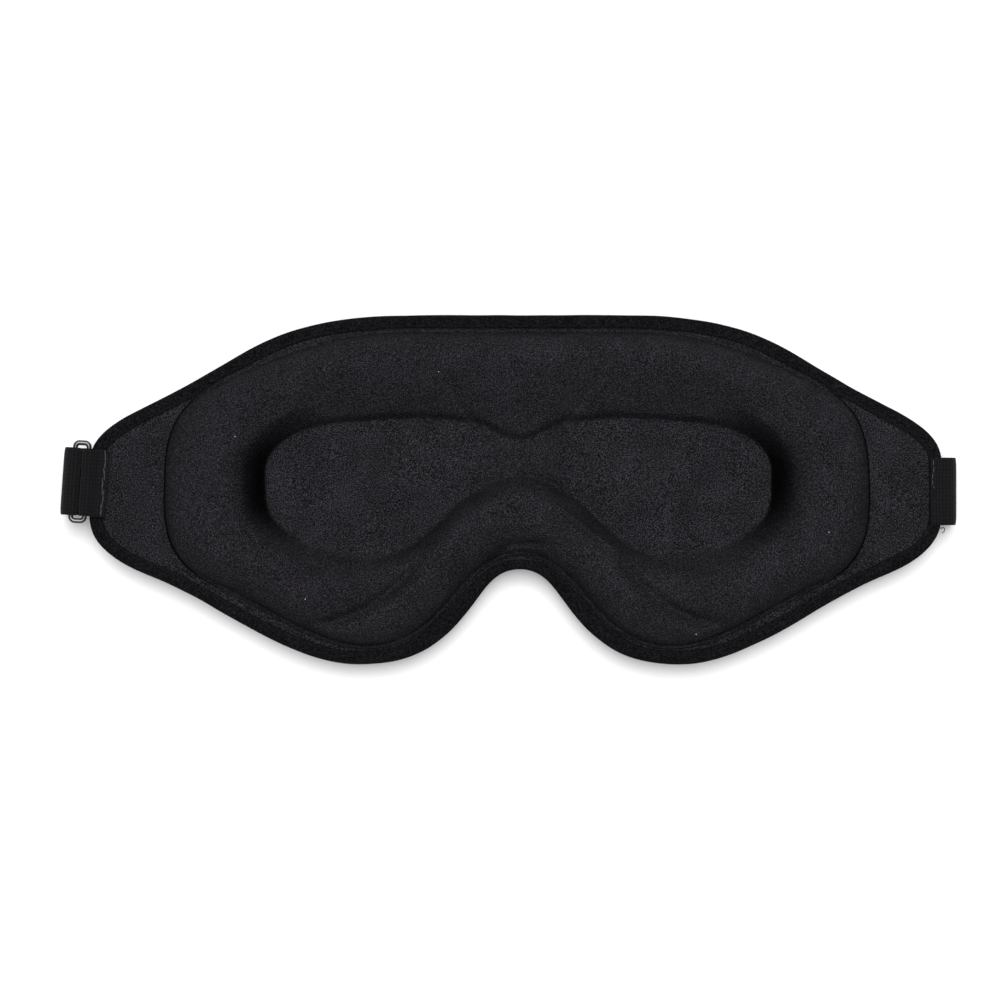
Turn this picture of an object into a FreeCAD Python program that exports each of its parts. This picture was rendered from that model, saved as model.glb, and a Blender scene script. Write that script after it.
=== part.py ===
"""Contoured sleep eye mask with an adjustable elastic strap.

The mask lies flat with its face side up, and the strap is folded flat underneath it.
+X runs along the mask, +Y points to its top edge and +Z leaves its face side.
The origin is on the symmetry plane, in the plane that the strap lies on.  Units: mm.
"""
import FreeCAD, Part
import math
import os

# Overall outline
mask_width = 244.0
mask_height = 100.5
wing_length = 21.0
flange_width = 4.0

# Base laminate: outer fabric, foam and lining
cover_thickness = 0.8
base_foam_thickness = 1.6
lining_thickness = 0.6

# Shallow domes on the outer side, one over each eye
dome_depth = 2.4
dome_clearance = 0.95
dome_centre_x = 46.0
dome_half_length = 34.0
dome_half_height = 27.0

# Rolled binding tape and its lockstitch
binding_width = 3.3
binding_wall = 0.9
binding_tape = 0.5
thread_inset = 2.7
thread_width = 0.4
thread_height = 0.2

# Contoured face pad
pad_height = 13.0
pad_skin = 0.8
pad_to_binding = 0.2
pad_edge_rounding = 7.0
cup_inner_x = 7.0
cup_outer_x = 72.2
cup_top = 20.4
cup_bottom = 18.9
cup_lip_rounding = 6.5
bridge_height = 6.5
bridge_centre_y = 9.0
bridge_radius = 12.0
bridge_half_length = 22.0

# Wing bend lines
wing_bend_offset = 0.5
body_gap = 0.3

# Elastic webbing
webbing_width = 19.4
webbing_thickness = 0.95
layer_gap = 0.1
strap_centre_y = 0.9

# Oval wire ring, its tab and the webbing folds
ring_wire = 1.5
ring_corner_radius = 1.2
ring_clearance = 0.15
ring_side_clearance = 0.25
ring_middle_gap = 0.2
ring_centre_y = 2.2
ring_tilt = -4.0
ring_bar_inboard = 0.25
tab_length = 5.4
tab_slope = 35.0
tab_bend_radius = 2.0
fold_reach = 3.2
fold_radius = 2.6
anchor_centre_y = -0.4
anchor_reach = 4.1
anchor_length = 3.4
run_end_inset = 10.0

# Three-bar slider
slider_x = 26.0
slider_length = 17.0
slider_bar_width = 2.6
slider_bar_thickness = 1.4
slider_rail_width = 2.4
slider_side_clearance = 0.4
slider_clearance = 0.15
loop_tail = 14.0
ramp_angle = 40.0
ramp_radius = 1.4

# Thread tacks
tack_width = 1.2
tack_height = 0.2
loop_tack_height = 0.06
tack_side_margin = 0.8

# Right half of the outer outline, top centre to nose arch, as shares of half width and height
OUTER_SHAPE = [
    (0.0, 0.995), (0.22, 0.996), (0.42, 0.968), (0.58, 0.860), (0.72, 0.672), (0.86, 0.487),
    (0.945, 0.37), (0.99, 0.25), (1.0, 0.0), (0.99, -0.25), (0.95, -0.37), (0.83, -0.52),
    (0.67, -0.73), (0.53, -0.905), (0.42, -0.985), (0.32, -0.985), (0.225, -0.915),
    (0.155, -0.785), (0.095, -0.605), (0.047, -0.483), (0.0, -0.452),
]
# The same for the pad, as shares of the pad's own half width and height
PAD_SHAPE = [
    (0.0, 0.995), (0.25, 0.996), (0.45, 0.975), (0.62, 0.885), (0.76, 0.765), (0.88, 0.625),
    (0.955, 0.47), (0.99, 0.28), (1.0, 0.0), (0.99, -0.27), (0.94, -0.47), (0.82, -0.635),
    (0.68, -0.80), (0.55, -0.935), (0.43, -0.985), (0.335, -0.945), (0.245, -0.82),
    (0.165, -0.63), (0.083, -0.465), (0.0, -0.405),
]
# Right eye cup, clockwise from its outer end: share of its length, share of its height
CUP_SHAPE = [
    (1.0, 0.0), (0.93, -0.52), (0.72, -0.89), (0.47, -0.985), (0.30, -0.66), (0.14, -0.14),
    (0.02, 0.25), (0.04, 0.78), (0.17, 0.965), (0.52, 0.985), (0.82, 0.80), (0.97, 0.44),
]

half_width = mask_width / 2
half_height = mask_height / 2
pad_half_width = half_width - wing_length
pad_half_height = half_height - flange_width
bend_x = pad_half_width + wing_bend_offset
run_end_x = half_width - run_end_inset

# Heights of the webbing layers on the table, and of the slider between them
layer_step = webbing_thickness + layer_gap
floor_layer_z = webbing_thickness / 2
second_layer_z = floor_layer_z + layer_step
third_layer_z = second_layer_z + layer_step
slider_loop_radius = (slider_bar_thickness + webbing_thickness) / 2 + slider_clearance
slider_loop_top_z = floor_layer_z + 2 * slider_loop_radius
hump_z = slider_loop_top_z + layer_step
slider_end_bar_z = third_layer_z + webbing_thickness / 2 + slider_clearance
slider_stack_top = max(hump_z + webbing_thickness / 2, slider_end_bar_z + slider_bar_thickness)

# Heights of the laminate, which rests on the folded strap
dome_bottom = slider_stack_top + dome_clearance
shell_bottom = dome_bottom + dome_depth
foam_bottom = shell_bottom + cover_thickness
lining_bottom = foam_bottom + base_foam_thickness
base_top = lining_bottom + lining_thickness
binding_bottom = shell_bottom - binding_tape
binding_top = base_top + binding_tape
pad_top = base_top + pad_height
bridge_top = base_top + bridge_height

# Ring and the webbing round its two bars
wrap_radius = (ring_wire + webbing_thickness) / 2 + ring_clearance
ring_bar_spacing = ring_wire + 2 * (webbing_thickness + ring_clearance) + ring_middle_gap
ring_length = webbing_width + 2 * (ring_side_clearance + ring_corner_radius) + ring_wire
inner_bar_x = half_width + ring_bar_inboard
outer_bar_x = inner_bar_x + ring_bar_spacing
tab_bottom_z = binding_top + thread_height + layer_gap + webbing_thickness / 2
ring_z = tab_bottom_z + wrap_radius
ring_pivot = FreeCAD.Vector(-inner_bar_x, ring_centre_y, ring_z)
MIRROR_PLANE = FreeCAD.Vector(1, 0, 0)
ORIGIN = FreeCAD.Vector(0, 0, 0)
UP = FreeCAD.Vector(0, 0, 1)
# Half size of a block that reaches past the whole mask
REACH = 2 * mask_width

parts = {}


def closed_curve(points):
    curve = Part.BSplineCurve()
    curve.interpolate(Points=points, PeriodicFlag=True)
    return curve


def mirrored_outline(shape, half_x, half_y):
    """Closed smooth outline, clockwise, from its right half given as shares."""
    right = [FreeCAD.Vector(x * half_x, y * half_y, 0) for x, y in shape]
    left = [FreeCAD.Vector(-p.x, p.y, 0) for p in reversed(right[1:-1])]
    return closed_curve(right + left)


def cup_outline():
    length = cup_outer_x - cup_inner_x
    points = []
    for along, up in CUP_SHAPE:
        height = cup_top if up > 0 else cup_bottom
        points.append(FreeCAD.Vector(cup_inner_x + along * length, up * height, 0))
    return closed_curve(points)


def inset(curve, distance):
    """The same clockwise outline moved inwards by distance, or outwards if it is negative."""
    points = []
    for knot in curve.getKnots()[:-1]:
        tangent = curve.tangent(knot)[0]
        inwards = FreeCAD.Vector(tangent.y, -tangent.x, 0)
        points.append(curve.value(knot) + inwards * distance)
    return closed_curve(points)


def wire_at(curve, z):
    wire = Part.Wire([curve.toShape()])
    wire.translate(UP * z)
    return wire


def plate(curve, z_low, z_high):
    return Part.Face(wire_at(curve, z_low)).extrude(UP * (z_high - z_low))


def block(x_low, x_high, y_low, y_high, z_low, z_high):
    corner = FreeCAD.Vector(x_low, y_low, z_low)
    return Part.makeBox(x_high - x_low, y_high - y_low, z_high - z_low, corner)


def stepped_loft(curve, steps):
    """Solid through insets of one outline: steps are (inset, z)."""
    wires = [wire_at(inset(curve, distance), z) for distance, z in steps]
    return Part.makeLoft(wires, True, True)


def mirrored_pair(shape):
    return shape.fuse(shape.mirror(ORIGIN, MIRROR_PLANE))


def ribbon(start_x, start_z, heading, moves, thickness, width, centre_y):
    """Flat webbing seen edge-on: ("go", length) and ("turn", radius, degrees to the left)."""
    x, z, angle = start_x, start_z, math.radians(heading)
    half = thickness / 2
    left, right = [], []

    def side(px, pz, a, offset):
        return FreeCAD.Vector(px - offset * math.sin(a), 0, pz + offset * math.cos(a))

    first = (side(x, z, angle, half), side(x, z, angle, -half))
    for move in moves:
        begin = (x, z, angle)
        if move[0] == "go":
            x += move[1] * math.cos(angle)
            z += move[1] * math.sin(angle)
            for rail, offset in ((left, half), (right, -half)):
                rail.append(Part.LineSegment(side(*begin, offset), side(x, z, angle, offset)))
            continue
        radius, turn = move[1], math.radians(move[2])
        sign = 1 if turn > 0 else -1
        centre_x = x - sign * radius * math.sin(angle)
        centre_z = z + sign * radius * math.cos(angle)

        def on_arc(part_of_turn, sign=sign, cx=centre_x, cz=centre_z, r=radius, a0=angle, t=turn):
            a = a0 + t * part_of_turn
            return cx + sign * r * math.sin(a), cz - sign * r * math.cos(a), a

        middle, end = on_arc(0.5), on_arc(1.0)
        for rail, offset in ((left, half), (right, -half)):
            rail.append(Part.Arc(side(*begin, offset), side(*middle, offset), side(*end, offset)))
        x, z, angle = end
    last = (side(x, z, angle, half), side(x, z, angle, -half))
    caps = [Part.LineSegment(last[0], last[1]), Part.LineSegment(first[1], first[0])]
    edges = [curve.toShape() for curve in left + right + caps]
    face = Part.Face(Part.Wire(Part.__sortEdges__(edges)))
    solid = face.extrude(FreeCAD.Vector(0, width, 0))
    solid.translate(FreeCAD.Vector(0, centre_y - width / 2, 0))
    return solid


def split_at_wings(name, full):
    """Cut a full-width layer at the two bend lines into the core piece and two wing pieces."""
    near = bend_x - body_gap / 2
    far = bend_x + body_gap / 2
    parts[name] = full.common(block(-near, near, -REACH, REACH, -REACH, REACH))
    parts["left_wing_" + name] = full.common(block(-REACH, -far, -REACH, REACH, -REACH, REACH))
    parts["right_wing_" + name] = full.common(block(far, REACH, -REACH, REACH, -REACH, REACH))


def dome(skin):
    """Shallow dome on the outer side over one eye, thinner all round by skin."""
    length, height = dome_half_length - skin, dome_half_height - skin
    lowest = dome_bottom + skin
    sections = ((1.0, foam_bottom), (0.84, (foam_bottom + lowest * 1.5) / 2.5), (0.5, lowest))
    wires = []
    for share, z in sections:
        centre = FreeCAD.Vector(dome_centre_x, 0, z)
        ellipse = Part.Ellipse(centre, length * share, height * share)
        wires.append(Part.Wire([ellipse.toShape()]))
    return Part.makeLoft(wires, True, True)


def base_layers(outer):
    laminate = inset(outer, binding_wall)
    inner_domes = mirrored_pair(dome(cover_thickness))
    cover = plate(laminate, shell_bottom, foam_bottom).fuse(mirrored_pair(dome(0.0)))
    split_at_wings("outer_cover", cover.cut(inner_domes))
    split_at_wings("base_foam", plate(laminate, foam_bottom, lining_bottom).fuse(inner_domes))
    split_at_wings("lining", plate(laminate, lining_bottom, base_top))
    band = plate(outer, binding_bottom, binding_top)
    band = band.cut(plate(inset(outer, binding_width), binding_bottom - 1, binding_top + 1))
    split_at_wings("binding", band.cut(plate(laminate, shell_bottom, base_top)))
    thread_top = binding_top + thread_height
    thread = plate(inset(outer, thread_inset), binding_top, thread_top)
    inner_edge = inset(outer, thread_inset + thread_width)
    split_at_wings("binding_thread", thread.cut(plate(inner_edge, binding_top - 1, thread_top + 1)))


def pad_body(outer, skin):
    """Face pad with its cups and nose bridge, thinner all round by skin, clear of the binding."""
    top = pad_top - skin
    outline = mirrored_outline(PAD_SHAPE, pad_half_width, pad_half_height)
    rounding = pad_edge_rounding
    profile = ((0.0, 0.0), (0.12, 0.46), (0.5, 0.85), (1.0, 1.0))
    height = top - base_top
    outside = [(skin + share * rounding, base_top + level * height) for share, level in profile]
    inside_binding = inset(outer, binding_width + pad_to_binding + skin)
    body = stepped_loft(outline, outside).common(plate(inside_binding, base_top, pad_top))
    lip = cup_lip_rounding
    walls = [(-skin - share * lip, base_top + level * height) for share, level in profile]
    walls.append((walls[-1][0], top + 1))
    cup = stepped_loft(cup_outline(), walls)
    radius = bridge_radius + skin
    saddle = Part.makeCylinder(
        radius, 2 * bridge_half_length,
        FreeCAD.Vector(-bridge_half_length, bridge_centre_y, bridge_top + bridge_radius),
        FreeCAD.Vector(1, 0, 0))
    return body.cut(cup).cut(cup.mirror(ORIGIN, MIRROR_PLANE)).cut(saddle)


def face_pad(outer):
    foam = pad_body(outer, pad_skin)
    parts["pad_foam"] = foam
    parts["pad_cover"] = pad_body(outer, 0.0).cut(foam)


def tilted(shape):
    return shape.rotated(ring_pivot, UP, ring_tilt)


def strap_ring():
    """Flat oval ring of round wire, with straight long bars."""
    reach_x = ring_bar_spacing / 2
    reach_y = (ring_length - ring_wire) / 2
    radius = ring_corner_radius
    centre = FreeCAD.Vector(-(inner_bar_x + reach_x), ring_centre_y, ring_z)
    diagonal = radius * math.sqrt(0.5)

    def point(x, y):
        return centre + FreeCAD.Vector(x, y, 0)

    edges = []
    for sx, sy, along_x in ((1, 1, True), (-1, 1, False), (-1, -1, True), (1, -1, False)):
        corner_x, corner_y = sx * (reach_x - radius), sy * (reach_y - radius)
        on_bar = point(sx * reach_x, corner_y)
        on_end = point(corner_x, sy * reach_y)
        middle = point(corner_x + sx * diagonal, corner_y + sy * diagonal)
        ends = (on_bar, on_end) if along_x else (on_end, on_bar)
        edges.append(Part.Arc(ends[0], middle, ends[1]).toShape())
        following = point(-corner_x, sy * reach_y) if along_x else point(sx * reach_x, -corner_y)
        edges.append(Part.LineSegment(ends[1], following).toShape())
    section = Part.Circle(edges[1].Vertexes[0].Point, FreeCAD.Vector(1, 0, 0), ring_wire / 2)
    profile = Part.Wire([section.toShape()])
    path = Part.Wire(edges[1:] + edges[:1])
    return path.makePipeShell([profile], True, True)


def left_end():
    """Tab on the left wing, the ring and the webbing that loops round it."""
    parts["strap_ring"] = tilted(strap_ring())
    slope = math.radians(tab_slope)
    drop = 2 * wrap_radius - webbing_thickness - layer_gap
    curved = (wrap_radius + tab_bend_radius) * (1 - math.cos(slope))
    slant = (drop - curved) / math.sin(slope)
    used = (wrap_radius + tab_bend_radius) * math.sin(slope) + slant * math.cos(slope)
    moves = [("go", tab_length), ("turn", wrap_radius, -180 - tab_slope), ("go", slant),
             ("turn", tab_bend_radius, tab_slope), ("go", tab_length - used)]
    tab = ribbon(-inner_bar_x + tab_length, tab_bottom_z, 180, moves,
                 webbing_thickness, webbing_width, ring_centre_y)
    parts["ring_tab"] = tilted(tab)
    tack_x = -inner_bar_x + used + tack_width
    tack_z = tab_bottom_z + layer_step + webbing_thickness / 2
    parts["ring_tab_tack"] = tilted(tack(tack_x, tack_z, ring_centre_y))

    outside_x = outer_bar_x + fold_reach - webbing_thickness / 2
    inside_x = outside_x - layer_step
    outer_top_z = ring_z + wrap_radius
    inner_top_z = ring_z - wrap_radius
    inner_radius = fold_radius - layer_step
    up = outer_top_z - floor_layer_z - 2 * fold_radius
    down = inner_top_z - second_layer_z - 2 * inner_radius
    moves = [
        ("go", outside_x - fold_radius - run_end_x), ("turn", fold_radius, -90), ("go", up),
        ("turn", fold_radius, -90), ("go", outside_x - fold_radius - outer_bar_x),
        ("turn", wrap_radius, -180), ("go", inside_x - inner_radius - outer_bar_x),
        ("turn", inner_radius, 90), ("go", down), ("turn", inner_radius, 90),
        ("go", inside_x - inner_radius - run_end_x),
    ]
    loop = ribbon(-run_end_x, floor_layer_z, 180, moves,
                  webbing_thickness, webbing_width, ring_centre_y)
    parts["strap_ring_loop"] = tilted(loop)


def right_end():
    """Webbing end sewn on the right wing, going over the wing's edge and underneath."""
    outside_x = half_width + anchor_reach - webbing_thickness / 2
    down = tab_bottom_z - floor_layer_z - 2 * fold_radius
    straight = anchor_length + anchor_reach - webbing_thickness / 2 - fold_radius
    moves = [("go", straight), ("turn", fold_radius, -90), ("go", down),
             ("turn", fold_radius, -90), ("go", outside_x - fold_radius - run_end_x)]
    parts["strap_anchor"] = ribbon(half_width - anchor_length, tab_bottom_z, 0, moves,
                                   webbing_thickness, webbing_width, anchor_centre_y)
    tack_x = half_width - binding_width + tack_width / 2
    parts["strap_anchor_tack"] = tack(tack_x, tab_bottom_z + webbing_thickness / 2, anchor_centre_y)


def tack(centre_x, low_z, centre_y, height=tack_height):
    """Line of thread across the webbing."""
    half = webbing_width / 2 - tack_side_margin
    return block(centre_x - tack_width / 2, centre_x + tack_width / 2,
                 centre_y - half, centre_y + half, low_z, low_z + height)


def ramp(rise):
    """Moves that raise the webbing by rise, or lower it, and the length they take."""
    sign = 1 if rise > 0 else -1
    angle = math.radians(ramp_angle)
    slant = (abs(rise) - 2 * ramp_radius * (1 - math.cos(angle))) / math.sin(angle)
    length = 2 * ramp_radius * math.sin(angle) + slant * math.cos(angle)
    moves = [("turn", ramp_radius, sign * ramp_angle), ("go", slant),
             ("turn", ramp_radius, -sign * ramp_angle)]
    return moves, length


def slider_and_strap():
    """Three-bar slider, the webbing loop sewn round its middle bar, and both strap layers."""
    bar_low = webbing_thickness + slider_clearance
    bar_high = bar_low + slider_bar_thickness
    end_bar_top = slider_end_bar_z + slider_bar_thickness
    inside_y = webbing_width / 2 + slider_side_clearance
    outside_y = inside_y + slider_rail_width
    half = slider_length / 2

    def cross_bar(x_low, x_high, z_low, z_high):
        return block(slider_x + x_low, slider_x + x_high, strap_centre_y - outside_y,
                     strap_centre_y + outside_y, z_low, z_high)

    bar_edge = (slider_bar_width - slider_bar_thickness) / 2
    frame = cross_bar(-bar_edge, bar_edge, bar_low, bar_high)
    for side in (-bar_edge, bar_edge):
        low_end = FreeCAD.Vector(slider_x + side, strap_centre_y - outside_y,
                                 (bar_low + bar_high) / 2)
        frame = frame.fuse(Part.makeCylinder(slider_bar_thickness / 2, 2 * outside_y,
                                             low_end, FreeCAD.Vector(0, 1, 0)))
    for x_low in (-half, half - slider_bar_width):
        end_bar = cross_bar(x_low, x_low + slider_bar_width, slider_end_bar_z, end_bar_top)
        frame = frame.fuse(end_bar)
    for y_low in (-outside_y, inside_y):
        frame = frame.fuse(block(slider_x - half, slider_x + half, strap_centre_y + y_low,
                                 strap_centre_y + y_low + slider_rail_width,
                                 bar_low, end_bar_top))
    parts["slider_frame"] = frame.removeSplitter()

    down_moves, down_length = ramp(slider_loop_top_z - second_layer_z)
    tail = loop_tail + bar_edge
    moves = [("go", tail), ("turn", slider_loop_radius, 180), ("go", 2 * bar_edge)]
    moves += down_moves
    moves.append(("go", tail - 2 * bar_edge - down_length - 1))
    parts["strap_slider_loop"] = ribbon(slider_x - loop_tail, floor_layer_z, 0, moves,
                                        webbing_thickness, webbing_width, strap_centre_y)
    tack_x = slider_x - loop_tail + 1 + tack_width
    parts["slider_loop_tack"] = tack(tack_x, second_layer_z + webbing_thickness / 2,
                                     strap_centre_y, loop_tack_height)

    gap = body_gap
    tilt_reach = webbing_width / 2 * math.sin(math.radians(abs(ring_tilt)))
    left_start = gap + tilt_reach - run_end_x
    parts["strap_return"] = block(left_start, slider_x - loop_tail - gap,
                                  strap_centre_y - webbing_width / 2,
                                  strap_centre_y + webbing_width / 2, 0, webbing_thickness)
    first, first_length = ramp(third_layer_z - second_layer_z)
    rise, rise_length = ramp(hump_z - third_layer_z)
    fall, fall_length = ramp(floor_layer_z - hump_z)
    tail_start = slider_x - loop_tail - first_length - gap
    nesting = layer_step * math.tan(math.radians(ramp_angle / 2))
    hump_start = slider_x - bar_edge - rise_length - nesting
    moves = [("go", tail_start - left_start)] + first
    moves.append(("go", hump_start - tail_start - first_length))
    moves += rise
    hump_end = slider_x + bar_edge + slider_loop_radius + webbing_thickness
    moves.append(("go", hump_end - hump_start - rise_length))
    moves += fall
    moves.append(("go", run_end_x - gap - hump_end - fall_length))
    parts["strap_run"] = ribbon(left_start, second_layer_z, 0, moves,
                                webbing_thickness, webbing_width, strap_centre_y)


def main():
    outer = mirrored_outline(OUTER_SHAPE, half_width, half_height)
    base_layers(outer)
    face_pad(outer)
    left_end()
    right_end()
    slider_and_strap()
    os.makedirs("parts", exist_ok=True)
    for name, shape in parts.items():
        shape.exportStep("parts/" + name + ".step")
        box = shape.BoundBox
        print("%-22s solids %d valid %s vol %9.1f  x %.1f..%.1f y %.1f..%.1f z %.2f..%.2f" % (
            name, len(shape.Solids), shape.isValid(), shape.Volume,
            box.XMin, box.XMax, box.YMin, box.YMax, box.ZMin, box.ZMax))


main()
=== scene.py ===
import math
import random

import bpy
import numpy as np
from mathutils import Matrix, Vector, kdtree, noise


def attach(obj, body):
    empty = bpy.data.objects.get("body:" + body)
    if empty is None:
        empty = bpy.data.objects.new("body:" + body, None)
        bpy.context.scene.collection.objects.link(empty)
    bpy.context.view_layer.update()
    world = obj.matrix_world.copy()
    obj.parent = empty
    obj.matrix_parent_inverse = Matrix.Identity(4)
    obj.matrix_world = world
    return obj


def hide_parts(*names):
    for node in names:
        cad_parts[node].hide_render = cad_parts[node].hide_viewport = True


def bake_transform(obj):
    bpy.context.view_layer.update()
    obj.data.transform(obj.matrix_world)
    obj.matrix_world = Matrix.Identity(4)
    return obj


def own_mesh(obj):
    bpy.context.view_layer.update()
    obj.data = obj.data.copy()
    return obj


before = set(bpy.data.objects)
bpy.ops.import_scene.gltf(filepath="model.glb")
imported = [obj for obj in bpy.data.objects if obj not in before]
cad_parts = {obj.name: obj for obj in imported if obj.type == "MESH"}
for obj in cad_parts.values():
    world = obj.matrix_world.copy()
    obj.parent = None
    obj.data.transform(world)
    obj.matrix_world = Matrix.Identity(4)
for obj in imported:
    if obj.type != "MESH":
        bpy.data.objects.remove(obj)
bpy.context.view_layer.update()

# Everything below is in millimetres until a mesh is made
MM = 0.001

# Outline of the mask and of its face pad, as in the CAD source
half_width = 122.0
half_height = 50.25
pad_half_width = 101.0
pad_half_height = 46.25
OUTER_SHAPE = [
    (0.0, 0.995), (0.22, 0.996), (0.42, 0.968), (0.58, 0.860), (0.72, 0.672), (0.86, 0.487),
    (0.945, 0.37), (0.99, 0.25), (1.0, 0.0), (0.99, -0.25), (0.95, -0.37), (0.83, -0.52),
    (0.67, -0.73), (0.53, -0.905), (0.42, -0.985), (0.32, -0.985), (0.225, -0.915),
    (0.155, -0.785), (0.095, -0.605), (0.047, -0.483), (0.0, -0.452),
]
PAD_SHAPE = [
    (0.0, 0.995), (0.25, 0.996), (0.45, 0.975), (0.62, 0.885), (0.76, 0.765), (0.88, 0.625),
    (0.955, 0.47), (0.99, 0.28), (1.0, 0.0), (0.99, -0.27), (0.94, -0.47), (0.82, -0.635),
    (0.68, -0.80), (0.55, -0.935), (0.43, -0.985), (0.335, -0.945), (0.245, -0.82),
    (0.165, -0.63), (0.083, -0.465), (0.0, -0.405),
]
CUP_SHAPE = [
    (1.0, 0.05), (0.985, -0.30), (0.88, -0.68), (0.71, -0.915), (0.47, -0.985), (0.30, -0.66),
    (0.14, -0.14), (0.02, 0.25), (0.04, 0.78), (0.17, 0.965), (0.50, 0.985), (0.77, 0.89),
    (0.925, 0.68), (0.99, 0.42),
]
cup_inner_x = 7.0
cup_outer_x = 72.2
cup_top = 20.4
cup_bottom = 18.9
nose_shift = 1.2

# Heights of the layers
shell_bottom = 8.0
base_top = 11.0
binding_bottom = 7.5
binding_top = 11.5
laminate_inset = 0.9
pad_height = 12.9
dome_depth = 2.4
dome_centre_x = 46.0
dome_half_length = 34.0
dome_half_height = 27.0
shell_wall = 0.78
lining_wall = 0.6

# Channel over the nose bridge that joins the two eye cups
channel_low = 4.0
channel_high = 14.0
channel_half_length = 13.0
channel_join = 1.2

# Walls round the cups: how far each reaches, and how fast it rises (1 is a straight slope)
end_wall_reach = 6.0
end_wall_power = 1.4
end_wall_share = 0.80
nose_wall_reach = 6.5
nose_wall_power = 2.3
top_wall_reach = 23.0
top_wall_power = 1.5
top_step_share = 0.17
top_step_reach = 2.0
low_wall_reach = 13.0
low_wall_power = 1.9

# Pad surface: sewn ledge round it, rounding, and the mound over the nose bridge
pad_rounding = 11.0
ledge_width = 1.5
ledge_height = 0.95
ledge_at_wings = (0.6, 1.25)
bead_height = 0.35
cup_bead_height = 0.85
mound_height = 4.2
mound_width = 12.5
rib_pitch = 2.3
pucker_pitch = 5.1
pad_perimeter = 560.0

# Stitches along the binding, and those across the webbing
stitch_pitch = 3.35
stitch_length = 2.5
stitch_radius = 0.17
stitch_inset = 0.62
tack_pitch = 1.9
tack_length = 1.75
tack_radius = 0.14

# Webbing, ring and slider, as in the CAD source
webbing_width = 19.4
webbing_thickness = 0.95
layer_step = 1.05
floor_layer_z = 0.475
second_layer_z = floor_layer_z + layer_step
third_layer_z = second_layer_z + layer_step
strap_centre_y = 0.9
anchor_centre_y = -0.4
ring_centre_y = 2.2
ring_tilt = math.radians(-4.0)
wrap_radius = 1.375
inner_bar_x = 122.25
outer_bar_x = inner_bar_x + 3.9
tab_bottom_z = 12.275
ring_z = tab_bottom_z + wrap_radius
tab_length = 5.4
tab_slope = 35.0
tab_bend_radius = 2.0
fold_radius = 2.6
fold_reach = 3.2
anchor_reach = 4.1
anchor_length = 3.4
slider_x = 26.0
slider_loop_radius = 1.325
bar_edge = 0.6
loop_tail = 14.0
ramp_angle = 40.0
ramp_radius = 1.4
hump_z = floor_layer_z + 2 * slider_loop_radius + layer_step

# Where the strap's pieces meet
SLIDER_LEFT = 8.0
SLIDER_RIGHT = 35.0
RUN_LEFT = -66.0
RUN_RIGHT = 62.0
DROP_END = 100.0
WING_END = 112.0
RING_END = -124.0

rng = random.Random(7)


# ---- curves

def even_points(dense, count, closed=True):
    """Points evenly spaced along a dense line."""
    line = np.vstack([dense, dense[:1]]) if closed else dense
    steps = np.linalg.norm(np.diff(line, axis=0), axis=1)
    along = np.concatenate([[0.0], np.cumsum(steps)])
    wanted = np.linspace(0, along[-1], count, endpoint=not closed)
    return np.stack([np.interp(wanted, along, line[:, k]) for k in range(2)], axis=1)


def smooth_closed(points, count):
    """Points evenly spaced along the smooth closed curve through the given points."""
    p = np.array(points, float)
    n = len(p)
    after = np.roll(p, -1, 0)
    gap = np.linalg.norm(after - p, axis=1)
    system = np.zeros((n, n))
    turn = np.zeros((n, 2))
    for i in range(n):
        system[i, i - 1] += gap[i - 1]
        system[i, i] += 2 * (gap[i - 1] + gap[i])
        system[i, (i + 1) % n] += gap[i]
        turn[i] = 6 * ((after[i] - p[i]) / gap[i] - (p[i] - p[i - 1]) / gap[i - 1])
    bend = np.linalg.solve(system, turn)
    t = np.linspace(0, 1, 60, endpoint=False)[:, None]
    u = 1 - t
    dense = []
    for i in range(n):
        curved = (u ** 3 - u) * bend[i] + (t ** 3 - t) * bend[(i + 1) % n]
        dense.append(u * p[i] + t * after[i] + gap[i] ** 2 / 6 * curved)
    return even_points(np.concatenate(dense), count)


def smooth_open(points, count=120):
    """Evenly spaced points on a smooth open line through the given points."""
    p = np.array(points, float)
    padded = np.vstack([2 * p[0] - p[1], p, 2 * p[-1] - p[-2]])
    dense = []
    for i in range(len(p) - 1):
        a, b, c, d = padded[i:i + 4]
        t = np.linspace(0, 1, 30)[:, None]
        dense.append(0.5 * (2 * b + (c - a) * t + (2 * a - 5 * b + 4 * c - d) * t ** 2
                            + (3 * b - a - 3 * c + d) * t ** 3))
    return even_points(np.concatenate(dense), count, closed=False)


def mirrored_outline(shape, half_x, half_y, count):
    """Closed outline, clockwise from the top centre, from its right half."""
    right = [(x * half_x, y * half_y) for x, y in shape]
    left = [(-x, y) for x, y in reversed(right[1:-1])]
    return smooth_closed(right + left, count)


def inwards_of(outline):
    """Unit vectors that point into a closed clockwise outline."""
    along = np.roll(outline, -1, 0) - np.roll(outline, 1, 0)
    along /= np.linalg.norm(along, axis=1)[:, None]
    return np.stack([along[:, 1], -along[:, 0]], axis=1)


def inset(outline, distance):
    return outline + inwards_of(outline) * distance


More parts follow.
